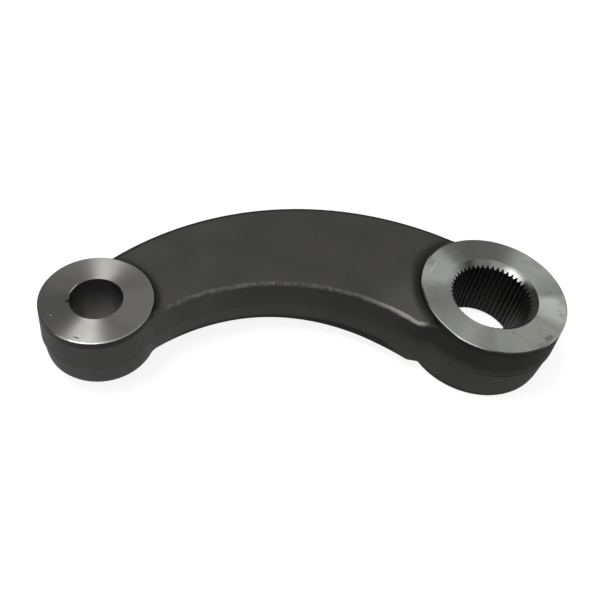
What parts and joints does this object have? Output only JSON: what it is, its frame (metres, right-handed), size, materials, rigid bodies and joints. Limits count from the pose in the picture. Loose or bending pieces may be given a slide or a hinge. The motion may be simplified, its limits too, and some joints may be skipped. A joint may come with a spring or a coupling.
{
  "type": "pitman arm",
  "caption": "Bowed forged steering arm with a serrated bore for the sector shaft in its large boss and a taper for a ball stud in its small boss.",
  "frame": {"origin": "on the serrated bore's axis, at the underside of the large boss", "axes": "+Z along the serrated bore from the underside to the faced top, -X from the serrated bore to the ball stud taper, +Y to the bowed back edge"},
  "size_m": [0.2731, 0.11, 0.04],
  "materials": {
    "forged_steel": "dark as-forged surface with faced rings and cut bores in bare steel"
  },
  "bodies": {
    "root": {"pitman_arm": "forged_steel"}
  },
  "joints": []
}
